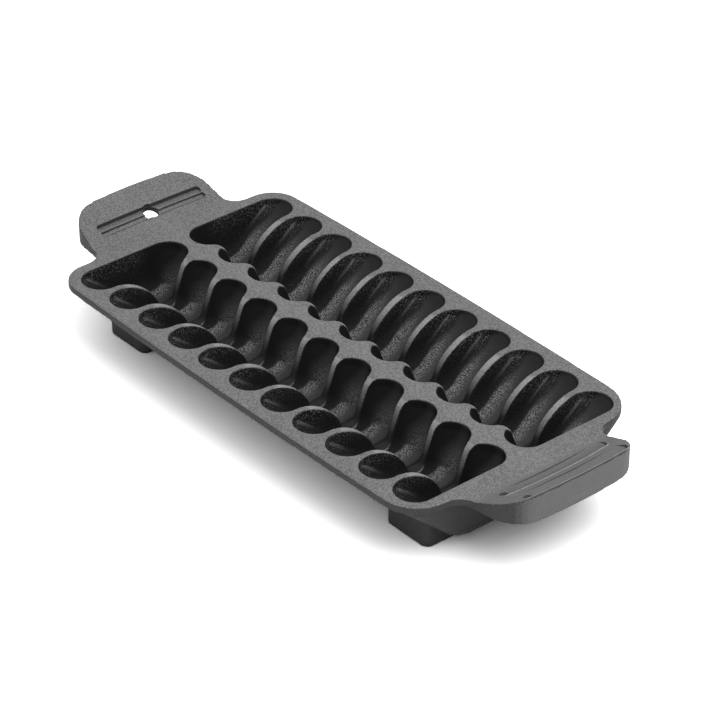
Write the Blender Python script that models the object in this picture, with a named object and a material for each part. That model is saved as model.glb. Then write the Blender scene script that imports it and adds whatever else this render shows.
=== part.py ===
"""Shrimp grill pan: one iron casting with two banks of eleven deep cells.

The casting is modelled as its named regions, 0.3 mm apart: the two rims, the centre rib, the
end walls, the two troughs, the dividers between the cells, the handles and the feet. X runs
from the left handle to the right one and Y from the front rim to the back one. The origin is
on the table under the middle of the pan.
"""
import math

import bmesh
import bpy
import numpy as np
from mathutils import Matrix

# Cells
CELLS_PER_BANK = 11
CELL_PITCH = 0.0250
DIVIDER_THICKNESS = 0.0037
CELL_LENGTH = 0.0647
CELL_TIP_DEPTH = 0.0052
CELL_DEPTH = 0.0285
FLOOR_OUTER_RUN = 0.0290    # along the cell, from its outer tip to the level floor
FLOOR_INNER_RUN = 0.0085    # along the cell, from its inner tip to the level floor
FLOOR_BEND_RADIUS = 0.0120
RIB_THICKNESS = 0.0066      # between the inner tips of the two banks

# Deck and bellies
DECK_HEIGHT = 0.0363        # from the table to the cooking face
RIM_THICKNESS = 0.0043
RIM_WIDTH = 0.0058          # from the cells' outer tips to the long edge, at the corners
RIM_BOW = 0.0022            # how much further out the long edge lies at mid length
END_RIM_WIDTH = 0.0068      # from the last cell to the end edge
CORNER_RADIUS = 0.0200
BELLY_WALL = 0.0042
BELLY_FLARE = 0.0045        # from the cells' outer tips to where the belly leaves the deck
BELLY_END_INSET = 0.0030    # of the belly's end face from the deck's end edge
BELLY_END_RISE = 0.0120     # of the underside, as it turns up into the end face
BELLY_CORNER_RADIUS = 0.0200
VALLEY_DEPTH = 0.0190       # from the cooking face to the groove under the centre rib

# Dips in the dividers
DIP_OUTER_RUN = 0.0300      # from the cells' outer tips to the corner before its rounding
DIP_SLOPE_RUN = 0.0084
DIP_INNER_RUN = 0.0094      # from the cells' inner tips to the corner before its rounding
DIP_RISE_RUN = 0.0090
DIP_DEPTH = 0.0230
DIP_OUTER_RADIUS = 0.0285
DIP_FLOOR_RADIUS = 0.0040
DIP_INNER_RADIUS = 0.0070

# Where the named regions meet
JOINT_GAP = 0.0003
TIP_OVERLAP = 0.0043        # how far the rims and the rib reach past the cells' tips
SIDE_OVERLAP = 0.0030       # how far an end wall reaches into the last cell
RIDGE_HEIGHT = 0.0035       # how high the troughs rise between two cells, above their floors

# Handles
HANDLE_LENGTH = 0.0366      # past the deck's end edge, at mid width
HANDLE_WIDTH = 0.0815
HANDLE_END_BOW = 0.0030
HANDLE_CORNER_RADIUS = 0.0150
HANDLE_WALL = 0.0043
HANDLE_RISE = 0.0110
NECK_WIDTH = 0.0870
NECK_RADIUS = 0.0095
NECK_STRIP = 0.0012         # of the neck that belongs to the end wall
RAMP_OFFSET = 0.0087        # from the deck's end edge to the foot of the ramp
HANG_HOLE_DIAMETER = 0.0105
HANG_HOLE_OFFSET = 0.0170   # from the deck's end edge to the hole's centre
GROOVE_WIDTH = 0.0092
GROOVE_LENGTH = 0.0700
GROOVE_INNER_DEPTH = 0.0005
GROOVE_OUTER_DEPTH = 0.0017
GROOVE_OFFSET = 0.0168      # from the deck's end edge to the first groove's middle
GROOVE_PITCH = 0.0138       # from the first groove to the second

# Feet
FOOT_LENGTH = 0.0310
FOOT_WIDTH = 0.0230
FOOT_CORNER_RADIUS = 0.0045
FOOT_END_OFFSET = 0.0145    # from the deck's end edge to the foot's nearer side
FOOT_SIDE_OFFSET = 0.0155   # from the cells' outer tips to the foot's outer side

# Drawing
ARC_STEPS = 6               # to a right angle
U_STEPS = 7
TIP_ANGLES = (18, 45, 70, 90)
HOLE_SIDES = 24
OVERCUT = 0.0020            # how far a cutter runs past the face that it cuts

# Worked out from the sizes above
CELL_HALF_WIDTH = (CELL_PITCH - DIVIDER_THICKNESS) / 2
INNER_TIP = RIB_THICKNESS / 2
OUTER_TIP = INNER_TIP + CELL_LENGTH
LAST_CELL = (CELLS_PER_BANK - 1) / 2 * CELL_PITCH
DECK_HALF_LENGTH = LAST_CELL + CELL_HALF_WIDTH + END_RIM_WIDTH
DECK_HALF_WIDTH = OUTER_TIP + RIM_WIDTH
BANK_END = LAST_CELL + CELL_HALF_WIDTH - SIDE_OVERLAP
RIM_LINE = OUTER_TIP - TIP_OVERLAP
RIB_LINE = INNER_TIP + TIP_OVERLAP
NECK_LINE = DECK_HALF_LENGTH + NECK_STRIP
HALF_GAP = JOINT_GAP / 2


def clear_scene():
    for thing in list(bpy.data.objects):
        bpy.data.objects.remove(thing, do_unlink=True)


def cast_iron(name, grey, roughness):
    material = bpy.data.materials.new(name)
    material.use_nodes = True
    shader = material.node_tree.nodes["Principled BSDF"]
    shader.inputs["Base Color"].default_value = (grey, grey, grey * 1.02, 1)
    shader.inputs["Roughness"].default_value = roughness
    shader.inputs["Metallic"].default_value = 0.35
    return material


def rounded(corners):
    """An open path through (u, v, radius) corners, each bend drawn as an arc.

    Where two bends would overlap on the side between them, both are drawn smaller.
    """
    spots = [np.array(corner[:2], dtype=float) for corner in corners]
    sides = [after - spot for spot, after in zip(spots, spots[1:])]
    lengths = [float(np.linalg.norm(side)) for side in sides]
    ways = [side / length for side, length in zip(sides, lengths)]
    turns = [math.acos(max(-1.0, min(1.0, float(way @ after))))
             for way, after in zip(ways, ways[1:])]
    wanted = [0.0] + [corner[2] * math.tan(turn / 2)
                      for corner, turn in zip(corners[1:], turns)] + [0.0]
    path = [tuple(spots[0])]
    for index, turn in enumerate(turns, start=1):
        spot, reach = spots[index], wanted[index]
        if reach < 0.000001:
            path.append(tuple(spot))
            continue
        for side in (index - 1, index):
            room = 0.95 * lengths[side] / (wanted[side] + wanted[side + 1])
            reach = min(reach, wanted[index] * room)
        radius = reach / math.tan(turn / 2)
        bisector = ways[index] - ways[index - 1]
        centre = spot + bisector / np.linalg.norm(bisector) * radius / math.cos(turn / 2)
        first = spot - ways[index - 1] * reach - centre
        last = spot + ways[index] * reach - centre
        steps = max(1, round(ARC_STEPS * turn / (math.pi / 2)))
        for step in range(steps + 1):
            share = step / steps
            mixed = math.sin((1 - share) * turn) * first + math.sin(share * turn) * last
            path.append(tuple(centre + mixed / math.sin(turn)))
    path.append(tuple(spots[-1]))
    return path


def depth_along(path):
    """The depth below the cooking face as a function of the distance from the outer tip."""
    distances = [point[0] for point in path]
    depths = [point[1] for point in path]
    return lambda distance: float(np.interp(distance, distances, depths))


FLOOR_PATH = rounded([
    (0, CELL_TIP_DEPTH, 0),
    (FLOOR_OUTER_RUN, CELL_DEPTH, FLOOR_BEND_RADIUS),
    (CELL_LENGTH - FLOOR_INNER_RUN, CELL_DEPTH, FLOOR_BEND_RADIUS),
    (CELL_LENGTH, CELL_TIP_DEPTH, 0),
])
BELLY_PATH = rounded([
    (-BELLY_FLARE, RIM_THICKNESS, 0),
    (FLOOR_OUTER_RUN, CELL_DEPTH + BELLY_WALL, FLOOR_BEND_RADIUS + BELLY_WALL),
    (CELL_LENGTH - FLOOR_INNER_RUN, CELL_DEPTH + BELLY_WALL, FLOOR_BEND_RADIUS),
    (OUTER_TIP, VALLEY_DEPTH, 0),
])
DIP_PATH = rounded([
    (0, 0, 0),
    (DIP_OUTER_RUN, 0, DIP_OUTER_RADIUS),
    (DIP_OUTER_RUN + DIP_SLOPE_RUN, DIP_DEPTH, DIP_FLOOR_RADIUS),
    (CELL_LENGTH - DIP_INNER_RUN - DIP_RISE_RUN, DIP_DEPTH, DIP_FLOOR_RADIUS),
    (CELL_LENGTH - DIP_INNER_RUN, 0, DIP_INNER_RADIUS),
    (CELL_LENGTH, 0, 0),
])[1:-1]
floor_depth = depth_along(FLOOR_PATH)
belly_depth = depth_along(BELLY_PATH)


def seam_depth(distance):
    """Where a trough ends and the dividers start."""
    return max(RIM_THICKNESS, floor_depth(distance) - RIDGE_HEIGHT)


def mesh_of(bm, name):
    bmesh.ops.recalc_face_normals(bm, faces=bm.faces)
    mesh = bpy.data.meshes.new(name)
    bm.to_mesh(mesh)
    bm.free()
    return mesh


def loft(rings, name):
    """A closed solid through rings of equally many points."""
    bm = bmesh.new()
    rows = [[bm.verts.new(point) for point in ring] for ring in rings]
    for row, following in zip(rows, rows[1:]):
        for index in range(len(row)):
            after = (index + 1) % len(row)
            bm.faces.new((row[index], row[after], following[after], following[index]))
    bm.faces.new(list(reversed(rows[0])))
    bm.faces.new(rows[-1])
    return mesh_of(bm, name)


def upright(outline, low, high, name):
    """An (x, y) outline made solid between two heights."""
    return loft([[(x, y, z) for x, y in outline] for z in (low, high)], name)


def along_x(outline, start, end, name):
    """A (y, z) outline made solid between two x values."""
    return loft([[(x, y, z) for y, z in outline] for x in (start, end)], name)


def along_y(outline, start, end, name):
    """An (x, z) outline made solid between two y values."""
    return loft([[(x, y, z) for x, z in outline] for y in (start, end)], name)


def box(low, high, name="box"):
    (x0, y0, z0), (x1, y1, z1) = low, high
    return upright([(x0, y0), (x1, y0), (x1, y1), (x0, y1)], z0, z1, name)


def joined(meshes, name):
    bm = bmesh.new()
    for mesh in meshes:
        bm.from_mesh(mesh)
    result = bpy.data.meshes.new(name)
    bm.to_mesh(result)
    bm.free()
    return result


def moved(mesh, matrix):
    result = mesh.copy()
    result.transform(matrix)
    return result


def carved(blank, name, cuts=(), adds=(), keeps=()):
    """The blank after its Booleans: first what is added, then kept, then cut away."""
    body = bpy.data.objects.new(name, blank)
    bpy.context.scene.collection.objects.link(body)
    tools = []
    for operation, meshes in (("UNION", adds), ("INTERSECT", keeps), ("DIFFERENCE", cuts)):
        for mesh in meshes:
            tool = bpy.data.objects.new(name + "_tool", mesh)
            bpy.context.scene.collection.objects.link(tool)
            tools.append(tool)
            modifier = body.modifiers.new(operation, "BOOLEAN")
            modifier.operation = operation
            modifier.solver = "EXACT"
            modifier.object = tool
    bpy.context.view_layer.update()
    graph = bpy.context.evaluated_depsgraph_get()
    result = bpy.data.meshes.new_from_object(body.evaluated_get(graph))
    for thing in [body] + tools:
        bpy.data.objects.remove(thing, do_unlink=True)
    bm = bmesh.new()
    bm.from_mesh(result)
    bmesh.ops.remove_doubles(bm, verts=bm.verts, dist=0.000002)
    bmesh.ops.dissolve_degenerate(bm, edges=bm.edges, dist=0.000002)
    bm.to_mesh(result)
    bm.free()
    result.name = name
    return result


def place(name, mesh, material, half_turn=False, at=(0, 0, 0)):
    thing = bpy.data.objects.new(name, mesh)
    thing.location = at
    thing.rotation_euler = (0, 0, math.pi if half_turn else 0)
    if not mesh.materials:
        mesh.materials.append(material)
    for polygon in mesh.polygons:
        polygon.use_smooth = True
    mesh.set_sharp_from_angle(angle=math.radians(35))
    bpy.context.scene.collection.objects.link(thing)
    return thing


def cell_cutter(centre_x):
    """The hollow of one cell in the front bank, as a U-shaped trough tool."""
    tip = [(CELL_HALF_WIDTH * (1 - math.cos(math.radians(angle))),
            CELL_HALF_WIDTH * math.sin(math.radians(angle))) for angle in TIP_ANGLES]
    tip[0] = (0, tip[0][1])
    level = [(point[0], CELL_HALF_WIDTH) for point in FLOOR_PATH
             if tip[-1][0] + OVERCUT < point[0] < CELL_LENGTH - tip[-1][0] - OVERCUT]
    stations = tip + level + [(CELL_LENGTH - run, width) for run, width in reversed(tip)]
    rings = []
    for distance, half_width in stations:
        depth = floor_depth(distance)
        bowl = min(depth, half_width)
        y = -OUTER_TIP + distance
        ring = [(centre_x - half_width, y, DECK_HEIGHT + OVERCUT)]
        for step in range(U_STEPS + 1):
            angle = math.pi * step / U_STEPS
            ring.append((centre_x - half_width * math.cos(angle), y,
                         DECK_HEIGHT - depth + bowl * (1 - math.sin(angle))))
        ring.append((centre_x + half_width, y, DECK_HEIGHT + OVERCUT))
        rings.append(ring)
    return loft(rings, "cell_tool")


def cell_centres():
    return [(index - (CELLS_PER_BANK - 1) / 2) * CELL_PITCH for index in range(CELLS_PER_BANK)]


HALF_TURN = Matrix.Rotation(math.pi, 4, "Z")


def bank_cutter():
    return joined([cell_cutter(x) for x in cell_centres()], "bank_tool")


def pan_outline():
    """The plan of the deck and both handles, with fillets where the handles join."""
    edge = DECK_HALF_LENGTH + HANDLE_LENGTH - HANDLE_END_BOW
    quarter = rounded([
        (0, -DECK_HALF_WIDTH - RIM_BOW, 0),
        (DECK_HALF_LENGTH / 2, -DECK_HALF_WIDTH - RIM_BOW * 0.75, DECK_HALF_LENGTH),
        (DECK_HALF_LENGTH, -DECK_HALF_WIDTH, CORNER_RADIUS),
        (DECK_HALF_LENGTH, -NECK_WIDTH / 2, NECK_RADIUS),
        (edge, -HANDLE_WIDTH / 2, HANDLE_CORNER_RADIUS),
        (edge + HANDLE_END_BOW * 0.75, -HANDLE_WIDTH / 4, HANDLE_WIDTH),
        (edge + HANDLE_END_BOW, 0, 0),
    ])
    right = quarter + [(x, -y) for x, y in reversed(quarter[:-1])]
    return right + [(-x, -y) for x, y in right[1:-1]]


def make_rim(plate, cells):
    region = box((-BANK_END + HALF_GAP, -DECK_HALF_WIDTH - RIM_BOW - OVERCUT, 0),
                 (BANK_END - HALF_GAP, -RIM_LINE - HALF_GAP, DECK_HEIGHT + OVERCUT))
    return carved(plate.copy(), "rim", cuts=[cells], keeps=[region])


def belly_points(start, end, drop=0.0):
    """The belly's underside as (y, z) points between two distances from the outer tips."""
    inside = [distance for distance, depth in BELLY_PATH if start < distance < end]
    return [(-OUTER_TIP + distance, DECK_HEIGHT - belly_depth(distance) - drop)
            for distance in [start] + inside + [end]]


def seam_points(start, end, drop):
    """The line between trough and dividers as (y, z) points, lowered by a drop."""
    steps = np.linspace(0, FLOOR_OUTER_RUN, 200)
    knee = next(float(step) for step in steps if seam_depth(step) > RIM_THICKNESS)
    inside = [knee] + [distance for distance, depth in FLOOR_PATH if distance > knee]
    inside = [distance for distance in inside if start < distance < end]
    return [(-OUTER_TIP + distance, DECK_HEIGHT - seam_depth(distance) - drop)
            for distance in [start] + inside + [end]]


def make_trough(cells):
    """The floors of one bank: the belly up to the foot of the dividers."""
    start, end = -BELLY_FLARE + JOINT_GAP, OUTER_TIP - RIB_LINE - HALF_GAP
    outline = belly_points(start, end) + list(reversed(seam_points(start, end, JOINT_GAP)))
    blank = along_x(outline, -BANK_END + HALF_GAP, BANK_END - HALF_GAP, "trough_blank")
    return carved(blank, "trough", cuts=[cells])


def dip_cutter():
    outline = [(-OUTER_TIP + distance, DECK_HEIGHT - depth) for distance, depth in DIP_PATH]
    ends = [(y, DECK_HEIGHT + OVERCUT) for y, z in (outline[-1], outline[0])]
    return along_x(outline + ends, -CELL_PITCH, CELL_PITCH, "dip_tool")


def make_divider():
    """One divider of the front bank, between two cells that lie half a pitch to each side."""
    outline = seam_points(OUTER_TIP - RIM_LINE + HALF_GAP, OUTER_TIP - RIB_LINE - HALF_GAP, 0)
    outline += [(outline[-1][0], DECK_HEIGHT), (outline[0][0], DECK_HEIGHT)]
    reach = CELL_PITCH / 2 - HALF_GAP
    blank = along_x(outline, -reach, reach, "divider_blank")
    sides = joined([cell_cutter(-CELL_PITCH / 2), cell_cutter(CELL_PITCH / 2)], "sides_tool")
    return carved(blank, "divider", cuts=[sides, dip_cutter()])


def make_rib(both_banks):
    reach = RIB_LINE - HALF_GAP
    lower = belly_points(OUTER_TIP - reach, OUTER_TIP)
    outline = lower + [(-y, z) for y, z in reversed(lower[:-1])]
    outline += [(reach, DECK_HEIGHT), (-reach, DECK_HEIGHT)]
    blank = along_x(outline, -BANK_END + HALF_GAP, BANK_END - HALF_GAP, "rib_blank")
    return carved(blank, "rib", cuts=both_banks)


def make_belly_end(start):
    """The rounded right ends of the two bellies, from a start that lies in the end wall."""
    end = DECK_HALF_LENGTH - BELLY_END_INSET
    lower = belly_points(-BELLY_FLARE, OUTER_TIP)
    lower += [(-y, z) for y, z in reversed(lower[:-1])]
    top = DECK_HEIGHT - RIM_THICKNESS / 2
    rings = []
    for step in range(ARC_STEPS + 1):
        angle = step / ARC_STEPS * math.pi / 2
        lift = BELLY_END_RISE * (1 - math.cos(angle))
        points = [(y, min(z + lift, DECK_HEIGHT - RIM_THICKNESS)) for y, z in lower]
        points += [(lower[-1][0], top), (lower[0][0], top)]
        x = start + (end - start) * math.sin(angle)
        rings.append([(x, y, z) for y, z in points])
    rings.insert(0, [(start - OVERCUT, y, z) for x, y, z in rings[0]])
    rings.append([(end + OVERCUT, y, z) for x, y, z in rings[-1]])
    plan = rounded([(start - OVERCUT * 2, -DECK_HALF_WIDTH, 0),
                    (end, -DECK_HALF_WIDTH, BELLY_CORNER_RADIUS),
                    (end, DECK_HALF_WIDTH, BELLY_CORNER_RADIUS),
                    (start - OVERCUT * 2, DECK_HALF_WIDTH, 0)])
    return carved(loft(rings, "belly_blank"), "belly_end",
                  keeps=[upright(plan, 0, DECK_HEIGHT, "belly_plan")])


def make_end_wall(plate, both_banks):
    """The right end wall: the end of the deck over the ends of the two bellies."""
    start = BANK_END + HALF_GAP
    region = box((start, -DECK_HALF_WIDTH * 2, 0),
                 (NECK_LINE - HALF_GAP, DECK_HALF_WIDTH * 2, DECK_HEIGHT + OVERCUT))
    return carved(plate.copy(), "end_wall", adds=[make_belly_end(start)], keeps=[region],
                  cuts=both_banks)


def ramp_height(x):
    """The height of the right handle's upper face."""
    foot = DECK_HALF_LENGTH + RAMP_OFFSET
    run = HANDLE_LENGTH - RAMP_OFFSET
    return DECK_HEIGHT + HANDLE_RISE * max(0.0, x - foot) / run


def under_ramp(start, drop, low, name):
    """All that lies under the right handle's upper face, from a start out past its end."""
    foot = DECK_HALF_LENGTH + RAMP_OFFSET
    end = DECK_HALF_LENGTH + HANDLE_LENGTH + OVERCUT
    xs = [start, foot, end] if start < foot else [start, end]
    outline = [(start, low), (end, low)]
    outline += [(x, ramp_height(x) - drop) for x in reversed(xs)]
    return along_y(outline, -HANDLE_WIDTH, HANDLE_WIDTH, name)


def handle_hollow():
    """The open hollow under the right handle."""
    start = DECK_HALF_LENGTH + RAMP_OFFSET + HANDLE_WALL / 2
    edge = DECK_HALF_LENGTH + HANDLE_LENGTH - HANDLE_END_BOW - HANDLE_WALL
    half = HANDLE_WIDTH / 2 - HANDLE_WALL
    radius = HANDLE_CORNER_RADIUS - HANDLE_WALL / 2
    plan = rounded([(start, -half, 0), (edge, -half, radius),
                    (edge + HANDLE_END_BOW, 0, HANDLE_WIDTH), (edge, half, radius),
                    (start, half, 0)])
    blank = upright(plan, 0, DECK_HEIGHT + HANDLE_RISE, "hollow_blank")
    return carved(blank, "hollow", keeps=[under_ramp(start - OVERCUT, HANDLE_WALL, 0, "roof")])


def groove_cutter(offset):
    """A sawtooth groove across the right handle: shallow inside, a sharp wall outside."""
    middle = DECK_HALF_LENGTH + offset
    inner, outer = middle - GROOVE_WIDTH / 2, middle + GROOVE_WIDTH / 2
    half = GROOVE_LENGTH / 2
    plan = rounded([(middle, -half, 0), (outer, -half, GROOVE_WIDTH / 2),
                    (outer, half, GROOVE_WIDTH / 2), (inner, half, GROOVE_WIDTH / 2),
                    (inner, -half, GROOVE_WIDTH / 2), (middle, -half, 0)])[:-1]
    tall = DECK_HEIGHT + HANDLE_RISE * 2
    bed = [(inner - OVERCUT, ramp_height(inner - OVERCUT) - GROOVE_INNER_DEPTH),
           (outer + OVERCUT, ramp_height(outer + OVERCUT) - GROOVE_OUTER_DEPTH),
           (outer + OVERCUT, tall), (inner - OVERCUT, tall)]
    return carved(upright(plan, 0, tall + OVERCUT, "groove_blank"), "groove",
                  keeps=[along_y(bed, -GROOVE_LENGTH, GROOVE_LENGTH, "bed")])


def hang_hole_cutter():
    centre = DECK_HALF_LENGTH + HANG_HOLE_OFFSET
    radius = HANG_HOLE_DIAMETER / 2
    turns = [2 * math.pi * side / HOLE_SIDES for side in range(HOLE_SIDES)]
    circle = [(centre + radius * math.cos(turn), radius * math.sin(turn)) for turn in turns]
    return upright(circle, 0, DECK_HEIGHT + HANDLE_RISE * 2, "hang_hole")


def make_handle(outline, cuts):
    """The right handle: a ramp of plate with its edge turned down, open underneath."""
    low = DECK_HEIGHT - RIM_THICKNESS
    blank = upright(outline, low - OVERCUT, DECK_HEIGHT + HANDLE_RISE * 2, "handle_blank")
    hood = under_ramp(NECK_LINE + HALF_GAP, 0, low, "hood")
    return carved(blank, "handle", keeps=[hood], cuts=[handle_hollow()] + cuts)


def make_foot():
    """The front right foot, cut to the belly above it."""
    right = DECK_HALF_LENGTH - FOOT_END_OFFSET
    front = -OUTER_TIP + FOOT_SIDE_OFFSET
    middle = (right - FOOT_LENGTH / 2, front)
    loop = rounded([middle, (right, front, FOOT_CORNER_RADIUS),
                    (right, front + FOOT_WIDTH, FOOT_CORNER_RADIUS),
                    (right - FOOT_LENGTH, front + FOOT_WIDTH, FOOT_CORNER_RADIUS),
                    (right - FOOT_LENGTH, front, FOOT_CORNER_RADIUS), middle])[:-1]
    blank = upright(loop, 0, DECK_HEIGHT - RIM_THICKNESS - OVERCUT, "foot_blank")
    underside = belly_points(-BELLY_FLARE, OUTER_TIP, JOINT_GAP)
    outline = underside + [(0, DECK_HEIGHT), (-OUTER_TIP - BELLY_FLARE, DECK_HEIGHT)]
    belly = along_x(outline, 0, DECK_HALF_LENGTH, "belly_tool")
    return carved(blank, "foot", cuts=[belly])


def build_pan():
    sanded = cast_iron("sand_cast_iron", 0.17, 0.62)
    ground = cast_iron("ground_iron", 0.24, 0.42)
    seasoned = cast_iron("seasoned_iron", 0.028, 0.55)
    side = cast_iron("side_iron", 0.075, 0.60)

    front_cells = bank_cutter()
    back_cells = moved(front_cells, HALF_TURN)
    outline = pan_outline()
    plate = upright(outline, DECK_HEIGHT - RIM_THICKNESS, DECK_HEIGHT, "plate")

    rim = make_rim(plate, front_cells)
    place("rim_front", rim, sanded)
    place("rim_back", rim, sanded, half_turn=True)

    place("centre_rib", make_rib([front_cells, back_cells]), ground)

    end_wall = make_end_wall(plate, [front_cells, back_cells])
    place("end_wall_right", end_wall, sanded)
    place("end_wall_left", end_wall, sanded, half_turn=True)

    trough = make_trough(front_cells)
    place("trough_front", trough, seasoned)
    place("trough_back", trough, seasoned, half_turn=True)

    divider = make_divider()
    for index in range(1, CELLS_PER_BANK):
        x = (index - CELLS_PER_BANK / 2) * CELL_PITCH
        place("divider_front_%02d" % index, divider, seasoned, at=(x, 0, 0))
        place("divider_back_%02d" % index, divider, seasoned, half_turn=True, at=(x, 0, 0))

    groove = groove_cutter(GROOVE_OFFSET)
    second_groove = groove_cutter(GROOVE_OFFSET + GROOVE_PITCH)
    place("handle_right", make_handle(outline, [groove, second_groove]), sanded)
    place("handle_left", make_handle(outline, [groove, hang_hole_cutter()]), sanded,
          half_turn=True)

    foot = make_foot()
    mirrored = moved(foot, Matrix.Scale(-1, 4, (1, 0, 0)))
    mirrored.flip_normals()
    place("foot_front_right", foot, side)
    place("foot_front_left", mirrored, side)
    place("foot_back_right", mirrored, side, half_turn=True)
    place("foot_back_left", foot, side, half_turn=True)


clear_scene()
build_pan()
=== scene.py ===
# %% [markdown]
# # Shrimp grill pan: the look of one iron casting
# The real pan is poured in one piece: a flat cooking face with two banks of deep cells, two
# bellies under them, a handle at each end and four feet. Nothing is screwed on, so the look is
# one skin too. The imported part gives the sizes; this script models the skin round them, gives
# it a cast iron finish, and sets up the light and the camera.

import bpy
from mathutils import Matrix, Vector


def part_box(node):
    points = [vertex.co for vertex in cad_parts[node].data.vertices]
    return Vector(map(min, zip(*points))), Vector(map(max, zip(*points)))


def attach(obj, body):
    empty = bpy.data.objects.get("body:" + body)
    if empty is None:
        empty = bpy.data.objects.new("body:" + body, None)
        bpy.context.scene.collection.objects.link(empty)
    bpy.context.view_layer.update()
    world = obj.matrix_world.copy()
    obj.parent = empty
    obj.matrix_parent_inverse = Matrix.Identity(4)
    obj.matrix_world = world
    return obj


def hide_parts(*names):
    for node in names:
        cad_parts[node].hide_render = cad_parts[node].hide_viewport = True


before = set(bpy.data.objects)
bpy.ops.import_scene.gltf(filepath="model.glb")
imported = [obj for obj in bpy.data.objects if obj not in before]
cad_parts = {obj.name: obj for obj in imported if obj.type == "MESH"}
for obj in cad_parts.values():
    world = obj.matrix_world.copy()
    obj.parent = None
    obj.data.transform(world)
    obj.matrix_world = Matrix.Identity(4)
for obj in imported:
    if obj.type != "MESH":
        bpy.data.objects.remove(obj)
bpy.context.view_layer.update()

# %% [markdown]
# ## The camera
# The pan was photographed from its front right, looking down, with a long lens that keeps the
# cells nearly parallel. The direction and the distance were found by fitting the cells' rims.
# The camera comes first, so that every later step can be looked at from the same place.

# %% Camera
import math

import bpy
from mathutils import Matrix, Vector

CAMERA_AZIMUTH = math.radians(49.936)    # round from the front towards the right handle
CAMERA_ELEVATION = math.radians(32.660)
CAMERA_DISTANCE = 1.63801
CAMERA_SHIFT_RIGHT = 0.00805             # from straight at the origin, across the view
CAMERA_SHIFT_UP = 0.02217                # and up the view
LENS_PER_SENSOR = 4.4930                 # focal length over the sensor's width
SENSOR = 36.0

rim_low, rim_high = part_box("rim_front")
DECK = rim_high.z                        # height of the cooking face


def add_camera():
    """Looks along the fitted direction; its place is counted from the table's origin."""
    away = Vector((math.sin(CAMERA_AZIMUTH) * math.cos(CAMERA_ELEVATION),
                   -math.cos(CAMERA_AZIMUTH) * math.cos(CAMERA_ELEVATION),
                   math.sin(CAMERA_ELEVATION)))
    right = Vector((math.cos(CAMERA_AZIMUTH), math.sin(CAMERA_AZIMUTH), 0))
    up = away.cross(right)
    place = right * CAMERA_SHIFT_RIGHT + up * CAMERA_SHIFT_UP + away * CAMERA_DISTANCE
    bpy.ops.object.camera_add()
    camera = bpy.context.object
    turn = Matrix((right, up, away)).transposed().to_4x4()
    camera.matrix_world = Matrix.Translation(place) @ turn
    camera.data.sensor_width = SENSOR
    camera.data.lens = LENS_PER_SENSOR * SENSOR
    bpy.context.scene.camera = camera
    return camera


print("camera stands at", [round(value, 3) for value in add_camera().matrix_world.translation])

# %% [markdown]
# ## Sizes
# The cells' count and pitch, the deck's height and thickness and the pan's width come from the
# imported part. The rest are the same driving sizes that the part is built from, in metres.

# %% Sizes
CELLS = 11
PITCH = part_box("divider_front_02")[0].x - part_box("divider_front_01")[0].x
PLATE = rim_high.z - rim_low.z           # thickness of the deck
MID_HALF = -rim_low.y                    # half width of the deck at mid length
SIDE_BOW = 0.0022                        # how far the long sides bow out
CORNER_HALF = MID_HALF - SIDE_BOW        # half width near the deck's corners
DIVIDER = 0.0037                         # thickness of a divider
CELL_HALF = (PITCH - DIVIDER) / 2
INNER_TIP = 0.0033                       # from the middle of the pan to the cells' inner tips
OUTER_TIP = 0.0680
CELL_DEPTH = 0.0285
TIP_DEPTH = 0.0048                       # where a cell's slope would meet its outer tip
OUTER_RUN = 0.0290                       # along a cell, from its outer tip to the level floor
INNER_RUN = 0.0085
LAST_CELL = (CELLS - 1) / 2 * PITCH
END_LAND = 0.0068                        # of flat iron past the last cell
DECK_END = LAST_CELL + CELL_HALF + END_LAND
print("cell pitch and half width, mm:", round(PITCH * 1000, 2), round(CELL_HALF * 1000, 2))

# %% [markdown]
# ## Shaping by hand, from a script
# Each blank starts as a cube at its size and place. Then faces and edges are picked by where
# they lie, and extruded, moved and bevelled as one would in edit mode. These few helpers do
# the picking: an element is chosen when all its corners pass a test.

# %% Helpers for edit mode
import bmesh

HAIR = 0.00002                           # two places closer than this count as one


def near(value, place):
    return abs(value - place) < HAIR


def block(name, low, high):
    """A cube at its size and place, left in edit mode."""
    low, high = Vector(low), Vector(high)
    bpy.ops.object.select_all(action="DESELECT")
    bpy.ops.mesh.primitive_cube_add(size=1, location=(low + high) / 2, scale=high - low)
    bpy.ops.object.transform_apply(location=True, rotation=True, scale=True)
    bpy.context.object.name = name
    bpy.ops.object.mode_set(mode="EDIT")
    return bpy.context.object


def choose(kind, test, skip=None):
    """Selects every VERT, EDGE or FACE whose corners all pass the test, but not the skip test."""
    bpy.ops.mesh.select_mode(type=kind)
    bpy.ops.mesh.select_all(action="DESELECT")
    shape = bmesh.from_edit_mesh(bpy.context.object.data)
    if kind == "VERT":
        found = [vertex for vertex in shape.verts if test(vertex.co)]
    else:
        elements = shape.edges if kind == "EDGE" else shape.faces
        found = [element for element in elements if all(test(v.co) for v in element.verts)]
    if skip:
        found = [element for element in found if not all(skip(v.co) for v in element.verts)]
    for element in found:
        element.select_set(True)
    bmesh.update_edit_mesh(bpy.context.object.data)


def move(x=0.0, y=0.0, z=0.0):
    bpy.ops.transform.translate(value=(x, y, z))


def extrude(x=0.0, y=0.0, z=0.0):
    bpy.ops.mesh.extrude_region_move(TRANSFORM_OT_translate={"value": (x, y, z)})


def bevel(offset, segments):
    bpy.ops.mesh.bevel(offset=offset, segments=segments, affect="EDGES", clamp_overlap=False)


def round_corners(xs, ys, radius, segments):
    """Rounds the upright edges at the corners that these places make."""
    for x in xs:
        for y in ys:
            choose("EDGE", lambda p: near(p.x, x) and near(p.y, y))
            bevel(radius, segments)


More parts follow.
